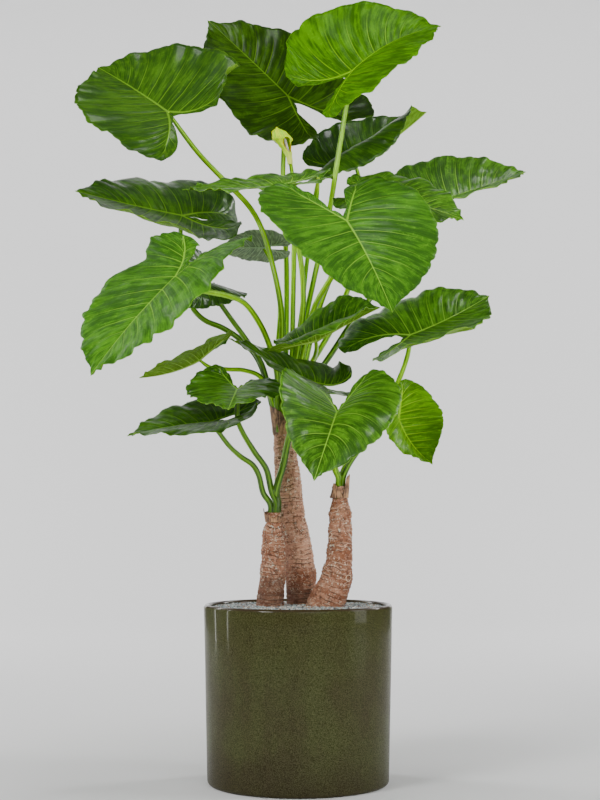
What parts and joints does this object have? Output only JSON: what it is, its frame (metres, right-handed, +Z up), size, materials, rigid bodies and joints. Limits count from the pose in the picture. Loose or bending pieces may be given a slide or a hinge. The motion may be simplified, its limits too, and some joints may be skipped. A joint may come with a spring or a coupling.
{
  "type": "potted alocasia plant",
  "caption": "Tall potted elephant-ear plant with woody stems, long leaf stalks, arrow-shaped veined leaves and a hooded flower, in a glazed cylindrical planter topped with gravel.",
  "frame": {"origin": "middle of the planter's flat bottom, on the surface that it stands on", "axes": "+Z up along the planter's axis; -Y towards the front, the side that the picture shows; +X to the viewer's right"},
  "size_m": [1.0821, 0.8209, 1.8313],
  "materials": {
    "trunk": "matt brown stem with cream flecks and rings of leaf scars",
    "blade": "glossy dark green leaf with pale veins",
    "bright_blade": "glossy yellow-green young leaf with pale veins",
    "stalk": "satin lime-green stalk",
    "sheath": "dry papery brown sheath",
    "spathe": "pale green satin hood of the flower",
    "spadix": "matt pinkish-white spadix",
    "planter_glaze": "glossy olive-brown speckled glaze",
    "soil": "dark crumbly potting mix",
    "gravel": "matt blue-grey gravel with brown grains"
  },
  "bodies": {
    "root": {"trunk_left": "trunk", "trunk_main": "trunk", "trunk_right": "trunk", "blade_top_left": "blade", "stalk_top_left": "stalk", "blade_top_middle": "blade", "stalk_top_middle": "stalk", "blade_top_right": "bright_blade", "stalk_top_right": "stalk", "blade_upper_right_rolled": "blade", "stalk_upper_right_rolled": "stalk", "blade_right_outer": "blade", "stalk_right_outer": "stalk", "blade_right_wavy": "blade", "stalk_right_wavy": "stalk", "blade_front_middle": "blade", "stalk_front_middle": "stalk", "blade_left_outer": "blade", "stalk_left_outer": "stalk", "blade_left_edgewise": "blade", "stalk_left_edgewise": "stalk", "blade_left_front": "blade", "stalk_left_front": "stalk", "blade_left_behind": "blade", "stalk_left_behind": "stalk", "blade_left_lower": "blade", "stalk_left_lower": "stalk", "blade_centre_small": "blade", "stalk_centre_small": "stalk", "blade_behind_centre": "blade", "stalk_behind_centre": "stalk", "blade_low_left": "blade", "stalk_low_left": "stalk", "blade_low_middle": "blade", "stalk_low_middle": "stalk", "blade_lowest_left": "blade", "stalk_lowest_left": "stalk", "blade_low_front": "blade", "stalk_low_front": "stalk", "blade_right_middle": "blade", "stalk_right_middle": "stalk", "blade_low_right": "bright_blade", "stalk_low_right": "stalk", "flower_hood": "spathe", "flower_spadix": "spadix", "flower_stalk": "stalk", "rolled_leaf": "bright_blade", "sheath_main": "sheath", "sheath_left": "sheath", "sheath_right": "sheath", "planter": "planter_glaze", "soil": "soil", "gravel": "gravel"}
  },
  "joints": []
}
